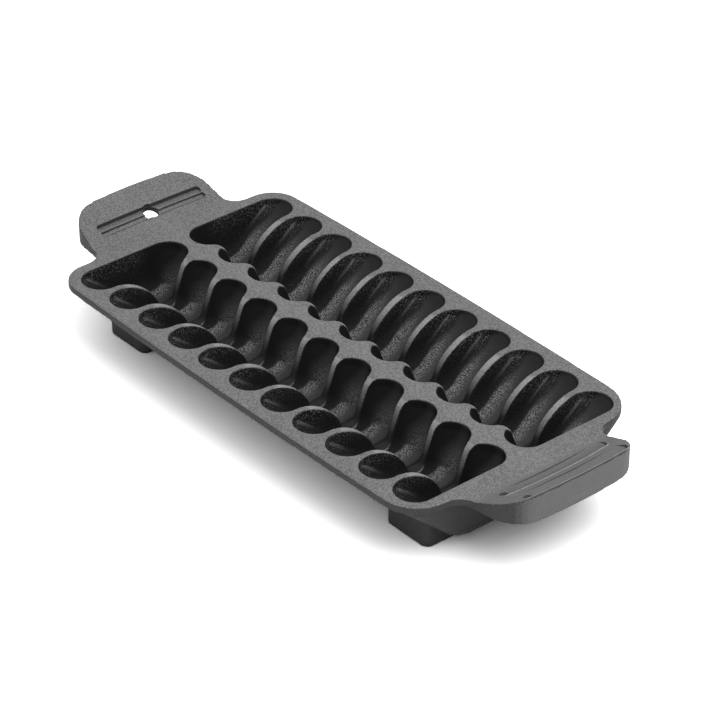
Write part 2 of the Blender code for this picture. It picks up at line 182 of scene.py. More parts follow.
def slice_at(place, normal, **options):
    """Cuts the whole blank along a plane; clear_outer or clear_inner drops one side."""
    bpy.ops.mesh.select_all(action="SELECT")
    bpy.ops.mesh.bisect(plane_co=place, plane_no=normal, **options)


def done():
    """Leaves edit mode with the faces pointing outwards."""
    bpy.ops.mesh.select_all(action="SELECT")
    bpy.ops.mesh.normals_make_consistent(inside=False)
    bpy.ops.object.mode_set(mode="OBJECT")
    return bpy.context.object


print("helpers for edit mode ready")

# %% [markdown]
# Whole objects are handled the same way: selected, copied, joined, and changed by modifiers
# that are applied at once. Solids are cut and joined with exact Booleans.

# %% Helpers for whole objects


def select_only(*things):
    """Selects these objects alone, and makes the first one active."""
    bpy.ops.object.select_all(action="DESELECT")
    for thing in things:
        thing.select_set(True)
    bpy.context.view_layer.objects.active = things[0]


def half_turned(thing):
    """A copy with its own mesh, turned half a turn about the upright axis."""
    copy = thing.copy()
    copy.data = thing.data.copy()
    bpy.context.collection.objects.link(copy)
    select_only(copy)
    copy.rotation_euler.z = math.pi
    bpy.ops.object.transform_apply(location=True, rotation=True, scale=True)
    return copy


def joined(things):
    """Several separate solids as one object."""
    select_only(*things)
    bpy.ops.object.join()
    return things[0]


def apply(thing, kind, **settings):
    """Adds one modifier with its settings and applies it."""
    bpy.context.view_layer.objects.active = thing
    change = thing.modifiers.new(kind.lower(), kind)
    for key, value in settings.items():
        setattr(change, key, value)
    bpy.ops.object.modifier_apply(modifier=change.name)


def combine(body, tool, operation):
    """Applies one Boolean modifier, and drops the tool."""
    apply(body, "BOOLEAN", operation=operation, solver="EXACT", object=tool)
    bpy.data.objects.remove(tool, do_unlink=True)


print("helpers for whole objects ready")

# %% [markdown]
# ## The deck and its handles
# The deck is a plate with rounded corners whose long sides bow out a little. Each handle grows
# from the middle of an end: the face there is extruded to the foot of a ramp, then out to the
# grip's end, and the upper edge is lifted. Vertical edges are bevelled into the plan's corners
# and into the soft inside corners of the neck. The back corners aren't quite alike on the real
# pan: the right one is rounder and the left one tighter.

# %% Deck and handles
NECK_HALF = 0.0435
HANDLE_HALF = 0.04075
HANDLE_OUT = 0.0339                      # from the deck's end to the grip's corners
HANDLE_BOW = 0.0027                      # how much further the middle of the grip reaches
RAMP_START = 0.0087                      # from the deck's end to the foot of the ramp
RAMP_RISE = 0.0114
RAMP_BEND = 0.0035                       # width of the soft hollow line at the ramp's foot
RAMP_SLOPE = RAMP_RISE / (HANDLE_OUT + HANDLE_BOW - RAMP_START)
GRIP_RADIUS = 0.0140
CORNER_RADII = {(1, -1): 0.0200, (1, 1): 0.0220, (-1, 1): 0.0160, (-1, -1): 0.0155}
NECK_RADII = {(1, -1): 0.0095, (1, 1): 0.0080, (-1, 1): 0.0095, (-1, -1): 0.0095}
BOW_PLANES = (0.105, 0.070, 0.035, 0.0)  # where the long sides are cut to bend them


def bow_sides():
    """Pushes the middle of both long sides out, in a shallow curve."""
    for x in BOW_PLANES:
        for mirrored in {x, -x}:
            slice_at((mirrored, 0, 0), (1, 0, 0))
    for x in BOW_PLANES:
        for side in (-1, 1):
            push = SIDE_BOW * (1 - (x / DECK_END) ** 2)
            choose("VERT", lambda p: near(abs(p.x), x) and near(p.y, side * CORNER_HALF))
            move(y=side * push)


def grow_handle(side):
    """Draws one handle out of the deck's end face."""
    bows = {0.0: HANDLE_BOW, HANDLE_HALF / 2: HANDLE_BOW * 0.75}
    choose("FACE", lambda p: near(p.x, side * DECK_END) and abs(p.y) < NECK_HALF + HAIR)
    for out in (RAMP_START, HANDLE_OUT - RAMP_START):
        extrude(x=side * out)
    narrow = HANDLE_HALF / NECK_HALF
    choose("VERT", lambda p: near(p.x, side * (DECK_END + HANDLE_OUT)))
    bpy.ops.transform.resize(value=(1, narrow, 1), center_override=(0, 0, 0))
    for y, bow in bows.items():
        choose("VERT", lambda p: near(p.x, side * (DECK_END + HANDLE_OUT))
               and abs(abs(p.y) - y) < HANDLE_HALF / 8)
        move(x=side * bow)


def lift_ramp(side):
    """Raises the grip's upper face, so that it climbs from the foot of the ramp."""
    for out in (HANDLE_OUT, HANDLE_OUT + HANDLE_BOW * 0.75, HANDLE_OUT + HANDLE_BOW):
        choose("VERT", lambda p: near(p.x, side * (DECK_END + out)) and near(p.z, DECK))
        move(z=RAMP_SLOPE * (out - RAMP_START))


def round_plan(side):
    """Turns the vertical edges of one end into rounded corners."""
    for front_back in (-1, 1):
        for x, y, radius in (
                (DECK_END, CORNER_HALF, CORNER_RADII[side, front_back]),
                (DECK_END, NECK_HALF, NECK_RADII[side, front_back]),
                (DECK_END + HANDLE_OUT, HANDLE_HALF, GRIP_RADIUS)):
            choose("EDGE", lambda p: near(p.x, side * x) and near(p.y, front_back * y))
            bevel(radius, 8)


def soften_ramp(side):
    """Rounds the hollow line at the foot of the ramp."""
    choose("EDGE", lambda p: near(p.x, side * (DECK_END + RAMP_START)) and near(p.z, DECK))
    bevel(RAMP_BEND, 4)


def make_deck():
    block("pan", (-DECK_END, -CORNER_HALF, DECK - PLATE), (DECK_END, CORNER_HALF, DECK))
    for y in (-NECK_HALF, -NECK_HALF / 2, 0, NECK_HALF / 2, NECK_HALF):
        slice_at((0, y, 0), (0, 1, 0))
    bow_sides()
    for side in (-1, 1):
        grow_handle(side)
        lift_ramp(side)
        round_plan(side)
        soften_ramp(side)
    return done()


pan = make_deck()
print("deck and handles:", len(pan.data.polygons), "faces")

# %% [markdown]
# ## The bellies
# Under each bank hangs a belly that follows the cells' floors: a long slope on the outside, a
# level bottom and a steep rise to the valley under the centre rib. A block is drawn in at its
# bottom edges, and then its bottom and its ends are rounded off. Crossing it with an upright
# plate gives it the deck's round corners.

# %% Bellies
WALL = 0.0042                            # of iron under the cells
BELLY_TOP = DECK - PLATE * 0.7           # inside the plate, so that the two overlap
BELLY_END = DECK_END - 0.0026            # the deck stands out a little over the belly
BELLY_BOTTOM = DECK - CELL_DEPTH - WALL
BELLY_FLARE = 0.0045                     # from the cells' outer tips to the belly's upper edge
VALLEY_CROSSING = 0.0127                 # where the inner slope would reach the deck
OUTER_BEND = 0.0059                      # width of the bends at the belly's bottom
INNER_BEND = 0.0055
BELLY_END_RADIUS = 0.0090
BELLY_CORNER = 0.0185
PLAN_MARGIN = 0.0002
PLAN_FOOT = -0.0100                      # the plan's plate reaches well under the belly


def make_belly():
    """The belly of the front bank."""
    outer, inner = -OUTER_TIP - BELLY_FLARE, VALLEY_CROSSING
    block("belly", (-BELLY_END, outer, BELLY_BOTTOM), (BELLY_END, inner, BELLY_TOP))
    choose("EDGE", lambda p: near(p.y, outer) and near(p.z, BELLY_BOTTOM))
    move(y=BELLY_FLARE + OUTER_RUN)
    choose("EDGE", lambda p: near(p.y, inner) and near(p.z, BELLY_BOTTOM))
    move(y=-inner - INNER_TIP - INNER_RUN)
    choose("EDGE", lambda p: near(p.z, BELLY_BOTTOM) and near(p.y, -OUTER_TIP + OUTER_RUN))
    bevel(OUTER_BEND, 4)
    choose("EDGE", lambda p: near(p.z, BELLY_BOTTOM) and near(p.y, -INNER_TIP - INNER_RUN))
    bevel(INNER_BEND, 4)
    for end in (-BELLY_END, BELLY_END):
        choose("EDGE", lambda p: near(p.x, end), skip=lambda p: near(p.z, BELLY_TOP))
        bevel(BELLY_END_RADIUS, 6)
    return done()


def make_belly_plan():
    """An upright plate for the belly's corners, a little larger so that no faces coincide."""
    end, half = BELLY_END + PLAN_MARGIN, OUTER_TIP + BELLY_FLARE + PLAN_MARGIN
    block("plan", (-end, -half, PLAN_FOOT), (end, half, DECK))
    round_corners((-end, end), (-half, half), BELLY_CORNER, 10)
    return done()


front_belly = make_belly()
combine(front_belly, make_belly_plan(), "INTERSECT")
back_belly = half_turned(front_belly)
combine(pan, front_belly, "UNION")
combine(pan, back_belly, "UNION")
print("with bellies:", len(pan.data.polygons), "faces")

# %% [markdown]
# ## The feet
# Four rounded blocks under the bellies. They reach up into the iron, and what would stand in a
# cell goes when the cells are cut.

# %% Feet
FOOT_LENGTH = 0.0310
FOOT_WIDTH = 0.0230
FOOT_RIGHT = DECK_END - 0.0145
FOOT_FRONT = -OUTER_TIP + 0.0155
FOOT_TOP = 0.0170
FOOT_CORNER = 0.0045


def make_foot(right):
    """A front foot whose right side lies at a given x."""
    left, back = right - FOOT_LENGTH, FOOT_FRONT + FOOT_WIDTH
    block("foot", (left, FOOT_FRONT, 0), (right, back, FOOT_TOP))
    round_corners((left, right), (FOOT_FRONT, back), FOOT_CORNER, 5)
    return done()


front_feet = [make_foot(FOOT_RIGHT), make_foot(-FOOT_RIGHT + FOOT_LENGTH)]
feet = joined(front_feet + [half_turned(foot) for foot in front_feet])
combine(pan, feet, "UNION")
print("with feet:", len(pan.data.polygons), "faces")

# %% [markdown]
# ## The cells
# One cell is modelled as the tool that hollows it out. A thin slice with a round bottom is
# extruded along the cell's floor: steeply down at the outer tip, down the long slope, level,
# and up at the rib. Crossing it with an upright stadium rounds both tips. The stadium leans at
# the rib, where the cell's end is a round wall with a strong draft. An Array modifier then lays
# eleven of them side by side, and a half turn gives the other bank.

# %% Cells
HEADROOM = 0.0300                        # of the tool above the deck, at the cell's tips
SLICE = 0.0010                           # thickness of the tool before it is drawn out
U_BEVEL = CELL_HALF * 0.985
TIP_START = 0.0016                       # depth of the floor right at the outer tip
TIP_RUN = 0.0030                         # from there to the foot of the steep part
TIP_REACH = 0.0028                       # of the floor's bends, to each side of their corner
OUTER_REACH = 0.0085
INNER_REACH = 0.0080
PAST_RIB = 0.0030                        # how far the floor's path runs on under the rib
STADIUM_DROP = 0.0400                    # of the stadium, below and above its waist
STADIUM_RISE = 0.0050


def bend(before, corner, after, reach):
    """Points of a soft bend round a corner of a path."""
    start = corner + (before - corner).normalized() * reach
    end = corner + (after - corner).normalized() * reach
    return [(1 - t) ** 2 * start + 2 * t * (1 - t) * corner + t ** 2 * end
            for t in (0, 0.2, 0.4, 0.6, 0.8, 1)]


def floor_path():
    """The floor of a cell of the front bank as (y, z) points, from its outer tip."""
    slope = (CELL_DEPTH - TIP_DEPTH) / OUTER_RUN
    start = Vector((-OUTER_TIP, DECK - TIP_START))
    steep = Vector((-OUTER_TIP + TIP_RUN, DECK - TIP_DEPTH - slope * TIP_RUN))
    outer = Vector((-OUTER_TIP + OUTER_RUN, DECK - CELL_DEPTH))
    inner = Vector((-INNER_TIP - INNER_RUN, DECK - CELL_DEPTH))
    end = Vector((-INNER_TIP + PAST_RIB, DECK - TIP_DEPTH))
    return ([start] + bend(start, steep, outer, TIP_REACH) + bend(steep, outer, inner, OUTER_REACH)
            + bend(outer, inner, end, INNER_REACH) + [end])


def make_stadium():
    """A prism with the cell's plan, whose inner end leans under the rib's edge."""
    low, high = DECK - TIP_DEPTH - STADIUM_DROP, DECK + STADIUM_RISE
    block("stadium", (-CELL_HALF, -OUTER_TIP, low), (CELL_HALF, -INNER_TIP, high))
    round_corners((-CELL_HALF, CELL_HALF), (-OUTER_TIP, -INNER_TIP), CELL_HALF * 0.98, 10)
    slice_at((0, 0, DECK - TIP_DEPTH), (0, 0, 1))
    choose("VERT", lambda p: near(p.z, low) and p.y > -INNER_TIP - CELL_HALF - HAIR)
    move(y=-INNER_RUN / (CELL_DEPTH - TIP_DEPTH) * STADIUM_DROP)
    return done()


def make_cell():
    """The tool for one cell of the front bank, in the middle of the bank."""
    path = floor_path()
    tip = path[0].y
    cell = block("cell", (-CELL_HALF, -OUTER_TIP - SLICE, tip),
                 (CELL_HALF, -OUTER_TIP, DECK + HEADROOM))
    for x in (-CELL_HALF, CELL_HALF):
        choose("EDGE", lambda p: near(p.x, x) and near(p.z, tip))
        bevel(U_BEVEL, 9)
    choose("FACE", lambda p: near(p.y, -OUTER_TIP))
    for here, there in zip(path, path[1:]):
        extrude(y=there.x - here.x, z=there.y - here.y)
    done()
    combine(cell, make_stadium(), "INTERSECT")
    return cell


def make_bank(cell):
    """Eleven cells side by side."""
    select_only(cell)
    cell.location.x = -LAST_CELL
    bpy.ops.object.transform_apply(location=True)
    apply(cell, "ARRAY", count=CELLS, use_relative_offset=False, use_constant_offset=True,
          constant_offset_displace=(PITCH, 0, 0))
    return cell


front_bank = make_bank(make_cell())
cells = joined([front_bank, half_turned(front_bank)])
combine(pan, cells, "DIFFERENCE")
print("with cells:", len(pan.data.polygons), "faces")

# %% [markdown]
# ## The dips
# Near the rib each divider dips, so that a skewer or a sauce can pass from cell to cell. The
# tool for a whole bank is a slab just over the deck with a keel. The keel's upper corners get
# wide bevels, which give the divider its long shoulder and its short crest by the rib.

# %% Dips
DIP_DEPTH = 0.0230
SHOULDER = -OUTER_TIP + 0.0300           # where the outer slope would leave the deck
CREST = -INNER_TIP - 0.0094              # where the inner slope would
DIP_LIFT = 0.00005                       # of the slab, clear of the deck
DIP_START = -OUTER_TIP + 0.0060          # the slab's own ends and height
DIP_END = -INNER_TIP - 0.0015
SLAB = 0.0050
SHOULDER_DRAW = 0.0084                   # how far the keel's bottom is drawn in at each side
CREST_DRAW = 0.0090


def make_dips():
    """The tool that cuts the dips of the front bank."""
    low, floor = DECK + DIP_LIFT, DECK - DIP_DEPTH
    block("dips", (-LAST_CELL, DIP_START, low), (LAST_CELL, DIP_END, low + SLAB))
    for y in (SHOULDER, CREST):
        slice_at((0, y, 0), (0, 1, 0))
    choose("FACE", lambda p: near(p.z, low) and SHOULDER - HAIR < p.y < CREST + HAIR)
    extrude(z=floor - low)
    choose("EDGE", lambda p: near(p.z, floor) and near(p.y, SHOULDER))
    move(y=SHOULDER_DRAW)
    choose("EDGE", lambda p: near(p.z, floor) and near(p.y, CREST))
    move(y=-CREST_DRAW)
    for y, z, width, segments in (
            (SHOULDER, low, 0.0199, 10), (CREST, low, 0.0048, 6),
            (SHOULDER + SHOULDER_DRAW, floor, 0.0028, 4),
            (CREST - CREST_DRAW, floor, 0.0027, 4)):
        choose("EDGE", lambda p: near(p.y, y) and near(p.z, z))
        bevel(width, segments)
    return done()


front_dips = make_dips()
dips = joined([front_dips, half_turned(front_dips)])
combine(pan, dips, "DIFFERENCE")
print("with dips:", len(pan.data.polygons), "faces")

# %% [markdown]
# ## Hollow handles
# The grips are hoods: plate on top, with the edge turned down and room for the fingers under
# it.

# %% Hollows
GRIP_WALL = 0.0043
TOOL_ABOVE = 0.0200                      # tools stand well out above and below the grips
TOOL_BELOW = 0.0100


def make_hollow():
    """The hollow under the right grip."""
    start = DECK_END + RAMP_START + GRIP_WALL / 2
    end = DECK_END + HANDLE_OUT - GRIP_WALL
    half = HANDLE_HALF - GRIP_WALL
    block("hollow", (start, -half, DECK - PLATE * 2), (end, half, DECK + TOOL_ABOVE))
    for y in (-half / 2, 0, half / 2):
        slice_at((0, y, 0), (0, 1, 0))
    for y, bow in ((0, HANDLE_BOW), (half / 2, HANDLE_BOW * 0.75)):
        choose("VERT", lambda p: near(p.x, end) and near(abs(p.y), y))
        move(x=bow)
    round_corners((end,), (-half, half), GRIP_RADIUS - GRIP_WALL / 2, 6)
    roof = (DECK_END + RAMP_START, 0, DECK - GRIP_WALL)
    slice_at(roof, (-RAMP_SLOPE, 0, 1), clear_outer=True, use_fill=True)
    return done()


right_hollow = make_hollow()
hollows = joined([right_hollow, half_turned(right_hollow)])
combine(pan, hollows, "DIFFERENCE")
print("with hollows:", len(pan.data.polygons), "faces")

# %% [markdown]
# ## From sharp blank to casting
# Molten iron can't fill a sharp corner, and sand can't hold one, so every edge of a casting is
# soft. Bevelling these crossing hollows one by one would fail, so the blank is rebuilt from
# small voxels, which closes every seam, and then relaxed until its edges are about 0.9 mm
# round. Decimate takes away the faces that the flat parts don't need.

# %% Voxels, relaxing and thinning
VOXEL = 0.00062
RELAX_PASSES = 5
MOST_TRIANGLES = 186_000


def triangles(thing):
    return sum(len(face.vertices) - 2 for face in thing.data.polygons)


apply(pan, "REMESH", mode="VOXEL", voxel_size=VOXEL)
apply(pan, "SMOOTH", factor=0.5, iterations=RELAX_PASSES)
print("cast skin:", triangles(pan), "triangles")
apply(pan, "DECIMATE", ratio=MOST_TRIANGLES / triangles(pan))
print("after thinning:", triangles(pan), "triangles")

# %% [markdown]
# ## Grooves across the grips
# The grooves are crisper than the rest, as if the pattern maker had cut them last: each bed
# falls to one side and ends at a sharp lip. So they are cut after the relaxing. The right grip
# has two, with a small dimple at the front end of each. The left grip has one whose bed drops
# by a step near the deck, and the hang hole goes through its middle.

# %% Grooves and hang hole
GROOVE_HALF_LENGTH = 0.0345
GROOVE_SHIFT = 0.0012                    # grooves and hole sit a little behind the middle
HOLE_OUT = 0.0176                        # from the deck's end to the hole's middle
HOLE_RADIUS = 0.0045
GROOVES = (      # side, middle from the deck's end, half width, bow, depth inside and outside
    (1, 0.0138, 0.0043, 0.0028, -0.0003, 0.0017),
    (1, 0.0278, 0.0044, 0.0022, -0.0001, 0.0017),
    (-1, 0.0187, 0.0023, 0.0004, 0.0003, 0.0020),
    (-1, 0.0149, 0.0016, 0.0004, 0.0014, 0.0014))
DIMPLES = ((0.0143, -0.0301), (0.0288, -0.0284))     # from the deck's end, and y
BALL_RADIUS = 0.0027
DIMPLE_DEPTH = 0.0019


def make_groove(out, half, bow, inner_depth, outer_depth):
    """The tool for one groove of the right grip, with the depths of its two sides."""
    inner, outer = DECK_END + out - half, DECK_END + out + half
    end = GROOVE_HALF_LENGTH
    block("groove", (inner, -end, DECK - TOOL_BELOW), (outer, end, DECK + TOOL_ABOVE))
    for share in (-0.5, 0, 0.5):
        slice_at((0, share * end, 0), (0, 1, 0))
    for share in (0, 0.5):
        choose("VERT", lambda p: near(abs(p.y), share * end))
        move(x=bow * (1 - share ** 2))
    round_corners((inner, outer), (-end, end), half * 0.9, 5)
    bed = DECK + RAMP_SLOPE * (out + half - RAMP_START) - outer_depth
    fall = (outer_depth - inner_depth) / (2 * half)
    slice_at((outer, 0, bed), (fall - RAMP_SLOPE, 0, 1), clear_inner=True, use_fill=True)
    return done()


def make_dimples():
    """Two small balls that leave a dimple each in the right grip."""
    balls = []
    for out, y in DIMPLES:
        height = DECK + RAMP_SLOPE * (out - RAMP_START) + BALL_RADIUS - DIMPLE_DEPTH
        bpy.ops.mesh.primitive_uv_sphere_add(segments=32, ring_count=16, radius=BALL_RADIUS,
                                             location=(DECK_END + out, y, height))
        bpy.ops.object.transform_apply(location=True)
        balls.append(bpy.context.object)
    return joined(balls)


def make_hang_hole():
    """A round pin through the left grip."""
    bpy.ops.object.select_all(action="DESELECT")
    bpy.ops.mesh.primitive_cylinder_add(vertices=48, radius=HOLE_RADIUS, depth=DECK * 3,
                                        location=(-DECK_END - HOLE_OUT, GROOVE_SHIFT, DECK))
    bpy.ops.object.transform_apply(location=True)
    return bpy.context.object


for side, *sizes in GROOVES:
    groove = make_groove(*sizes)
    if side < 0:
        right_groove, groove = groove, half_turned(groove)
        bpy.data.objects.remove(right_groove, do_unlink=True)
    groove.location.y = GROOVE_SHIFT
    combine(pan, groove, "DIFFERENCE")
    print("groove at %.1f mm:" % (side * sizes[0] * 1000), triangles(pan), "triangles")
combine(pan, make_dimples(), "DIFFERENCE")
combine(pan, make_hang_hole(), "DIFFERENCE")
print("with grooves and hole:", triangles(pan), "triangles")

# %% [markdown]
# ## Cast iron
# The finish of a seasoned casting: a dark neutral grey with soft blotches from the oven, fine
# sand grain over it, and a half dull shine. The cells are painted blacker, partly for seasoning
# and partly as painted shade, because little light gets in. The shader maths is written as
# Python expressions, and this small class turns them into nodes.

# %% Shader maths as expressions


class Field:
    """A socket that can be added, multiplied and compared like a number."""
    tree = None

    def __init__(self, socket):
        self.socket = socket

    @classmethod
    def node(cls, kind, output=0, settings=None, **inputs):
        """Adds any node: its settings first, then values or links for its sockets."""
        made = cls.tree.nodes.new(kind)
        for key, value in (settings or {}).items():
            setattr(made, key, value)
        for key, value in inputs.items():
            place = int(key[1:]) if key[1:].isdigit() else key.replace("_", " ")
            if isinstance(value, Field):
                cls.tree.links.new(value.socket, made.inputs[place])
            else:
                made.inputs[place].default_value = value
        return Field(made.outputs[output])

    @classmethod
    def maths(cls, operation, *values, clamp=False):
        settings = {"operation": operation, "use_clamp": clamp}
        return cls.node("ShaderNodeMath", settings=settings,
                        **{f"n{index}": value for index, value in enumerate(values)})

    def __add__(self, other):
        return Field.maths("ADD", self, other)

    def __sub__(self, other):
        return Field.maths("SUBTRACT", self, other)

    def __rsub__(self, other):
        return Field.maths("SUBTRACT", other, self)

    def __mul__(self, other):
        return Field.maths("MULTIPLY", self, other)

    __radd__ = __add__
    __rmul__ = __mul__

    def clamped(self):
        return Field.maths("ADD", self, 0.0, clamp=True)


def noise(where, size, detail=2.0, roughness=0.5):
    """Soft noise from 0 to 1 whose spots are about so many metres across."""
    return Field.node("ShaderNodeTexNoise", Vector=where, Scale=1 / size, Detail=detail,
                      Roughness=roughness)


def smooth_step(value, low, high):
    """0 below one value, 1 above the other, and smooth between them."""
    return Field.node("ShaderNodeMapRange", settings={"interpolation_type": "SMOOTHSTEP"},
                      Value=value, From_Min=low, From_Max=high)


def mixed(share, first, second):
    """A colour between two, by share."""
    settings = {"data_type": "RGBA"}
    made = Field.node("ShaderNodeMix", output=2, settings=settings)
    node = made.socket.node
    for place, value in ((0, share), (6, first), (7, second)):
        if isinstance(value, Field):
            Field.tree.links.new(value.socket, node.inputs[place])
        else:
            node.inputs[place].default_value = value
    return made


print("shader helpers ready")

# %% [markdown]
# ## Where each finish lies
# The finish is told by place and by the way the skin faces. Every mask starts from the same few
# measurements of a point. The grain comes in three sizes: single specks, grains of sand and the
# pits between them. Over them lie the slow blotches that the oven leaves.

# %% What is measured at a point of the skin
from types import SimpleNamespace

BLOTCH, PIT, GRAIN, SPECK = 0.030, 0.0022, 0.0008, 0.00055


def split(vector):
    """The x, y and z of a vector, each as a field."""
    return [Field.node("ShaderNodeSeparateXYZ", output=axis, Vector=vector) for axis in "XYZ"]


def size_of(value):
    return Field.maths("ABSOLUTE", value)


def fading(value, low, high):
    """1 below one value, 0 above the other, and smooth between them."""
    return 1 - smooth_step(value, low, high)


def measured():
    """A point's place, the way it faces and the noises there, each as a field."""
    where = Field.node("ShaderNodeTexCoord", output="Object")
    x, y, z = split(where)
    side, _, up = split(Field.node("ShaderNodeTexCoord", output="Normal"))
    return SimpleNamespace(
        x=x, y=y, across=size_of(y), depth=DECK - z, side=side, up=up,
        blotches=noise(where, BLOTCH, detail=3), pits=noise(where, PIT, detail=2),
        grain=noise(where, GRAIN, detail=1), specks=noise(where, SPECK, detail=1))


print("measurements ready")

# %% [markdown]
# The cells' finish starts where the deck's ends. Its lower limit follows the cells' floor, and
# it rises round the last cell like the floor itself, so that none of it shows on the bellies.

# %% The space of the cells
UNDER_FLOOR = 0.0010, 0.0020             # the finish fades out this deep under the floor
PAST_WALL = 0.0002, 0.0012               # and this far past the last cell's wall
UNDER_FACE = 0.0003, 0.0012              # and it fades in this deep under the cooking face
WALL_RISE = 0.0030
CREST_EDGE = 0.0012, 0.0002              # where a crest starts, short of the cell's wall


def inside_cells(p):
    """1 on all that lies above the cells' floors and below the cooking face."""
    outer_slope = (CELL_DEPTH - TIP_DEPTH) / OUTER_RUN
    inner_slope = (CELL_DEPTH - TIP_DEPTH) / INNER_RUN
    from_outer = TIP_DEPTH + outer_slope * (OUTER_TIP - p.across)
    from_inner = TIP_DEPTH + inner_slope * (p.across - INNER_TIP)
    floor = Field.maths("MINIMUM", Field.maths("MINIMUM", from_outer, from_inner), CELL_DEPTH)
    beyond_last = Field.maths("MAXIMUM", size_of(p.x) - LAST_CELL, 0)
    beyond_tip = Field.maths("MAXIMUM", p.across - (OUTER_TIP - CELL_HALF), 0)
    off_centre = Field.maths("SQRT", beyond_last * beyond_last + beyond_tip * beyond_tip)
    rise = WALL_RISE * smooth_step(off_centre, CELL_HALF * 0.6, CELL_HALF)
    above_floor = fading(p.depth - floor + rise, *UNDER_FLOOR)
    in_plan = fading(off_centre, *(CELL_HALF + reach for reach in PAST_WALL))
    return above_floor * in_plan * smooth_step(p.depth, *UNDER_FACE)


def on_crest(p):
    """1 on the upper faces of the dividers' dips."""
    from_cell = Field.maths("PINGPONG", p.x, PITCH / 2)
    over_divider = smooth_step(from_cell, *(CELL_HALF - reach for reach in CREST_EDGE))
    return over_divider * smooth_step(p.up, 0.15, 0.40)


print("space of the cells ready")

# %% [markdown]
# The steep walls of a cell and its outer tip are black and smooth with seasoning. On the real
# pan the black ends sharply deep down, and softly on the shallow slopes and near the rib. A
# normal that points sideways tells a wall from a floor. The same black is also painted shade on
# the front bank's tips, on faces turned from the lamp and deep in the dips.

# %% Black walls and painted shade
EDGE_HIGH, EDGE_DROP = 0.76, 0.10        # sideways share of the normal where the black ends
EDGE_DEPTHS = 0.0120, 0.0270             # the edge drops between these depths
SHALLOW = 0.0120, 0.0220
RIB_FACING, RIB_REACH = (0.40, 0.70), (0.0180, 0.0300)
FRONT_TIP, BACK_TIP = (0.0480, 0.0600), (0.0480, 0.0620)      # from the middle of the pan
FRONT_BANK = 0.0, 0.0100


def add_walls(p):
    """Adds the cells, their crests, side walls, inner ends and tips to what is measured."""
    p.cells = inside_cells(p)
    p.crest = p.cells * on_crest(p)
    p.inner_end = fading(p.up, *RIB_FACING) * fading(p.across, *RIB_REACH)
    edge = EDGE_HIGH - EDGE_DROP * smooth_step(p.depth, *EDGE_DEPTHS)
    softly = -0.06 - 0.50 * p.inner_end - 0.36 * fading(p.depth, *SHALLOW)
    p.side_wall = smooth_step(size_of(p.side) - edge, softly, 0.05 + 0.20 * p.inner_end)
    # The front bank's tips get painted shade on top of the seasoning.
    p.front_tip = smooth_step(p.across, *FRONT_TIP) * smooth_step(0.0 - p.y, *FRONT_BANK)
    p.back_tip = 0.6 * smooth_step(p.across, *BACK_TIP)


def black_walls_and_shade(p):
    """1 where the seasoning is thick, and where painted shade lies: front tips, faces off the
    lamp, dips.
    """
    high_inner_end = 0.6 * p.inner_end * fading(p.depth, 0.0040, 0.0160)
    # Painted shade on faces turned from the lamp, and deep in the dips.
    far_side_shade = smooth_step(0.0 - p.side, 0.05, 0.40) * smooth_step(p.depth, 0.0080, 0.0160)
    deep_crest_shade = 0.8 * p.crest * smooth_step(p.depth, 0.0130, 0.0180)
    return p.cells * (p.side_wall + high_inner_end + p.front_tip + p.back_tip
                      + 0.9 * far_side_shade + deep_crest_shade).clamped()


print("walls ready")

# %% [markdown]
# The floors are bare and sandy, and where they face the lamp they carry a painted sheen. Painted
# highlights speck the black walls near the rim. The crests of the dividers and the rib are rubbed
# lighter, because every tool slides over them, and the high crests get painted light that fades
# down into the dips.

# %% Sandy floors with a painted sheen, painted highlights and rubbed crests


def sand_with_painted_sheen(p):
    """1 on the floors that face the light, where the grain carries a painted sheen."""
    deep = smooth_step(p.depth - 0.0040 * p.inner_end, 0.0060, 0.0200)
    lit = smooth_step(p.side + 0.40 * p.inner_end, 0.05, 0.50) * (1 - 0.2 * p.inner_end)
    tips = (p.front_tip + p.back_tip).clamped()
    return p.cells * deep * (1 - p.side_wall) * lit * (1 - tips) * (1 - p.crest)


def painted_glints(p):
    """Painted highlights: single light specks on the black walls, most of them near the rim."""
    black = (p.side_wall * (1 - p.inner_end) + p.front_tip).clamped()
    near_rim = fading(p.depth, 0.0010, 0.0130)
    return p.cells * black * smooth_step(p.specks, 0.56, 0.70) * (0.10 + 0.80 * near_rim)


def rubbed_and_lit_crests(p):
    """1 on the high crests, rubbed and with painted light that fades with depth, and a touch on
    the rib.
    """
    high = p.crest * fading(p.depth, 0.0020, 0.0160)
    rib = fading(size_of(p.depth), 0.0004, 0.0016) * fading(p.across, 0.0040, 0.0130)
    return (0.08 * rib + 0.9 * high).clamped()


print("floors and crests ready")

# %% [markdown]
# On the grips, painted shade lies in the grooves' beds, along the step in the left groove and in
# the dimples, and the grip is darker past the second lip. The grooves' sharp lips are worn, with
# a painted highlight. The casting's sides and underside get painted shade, and the grips' ends get
# painted light instead.

# %% Painted shade, worn lips and painted highlights
GRIP_END_START = 0.0220, 0.0260          # from the deck's end
RAMP_FADE = 0.0060, 0.0120
UPWARDS = 0.30, 0.60                     # upward share of the normal
LIP_WIDTH = 0.0001, 0.0006


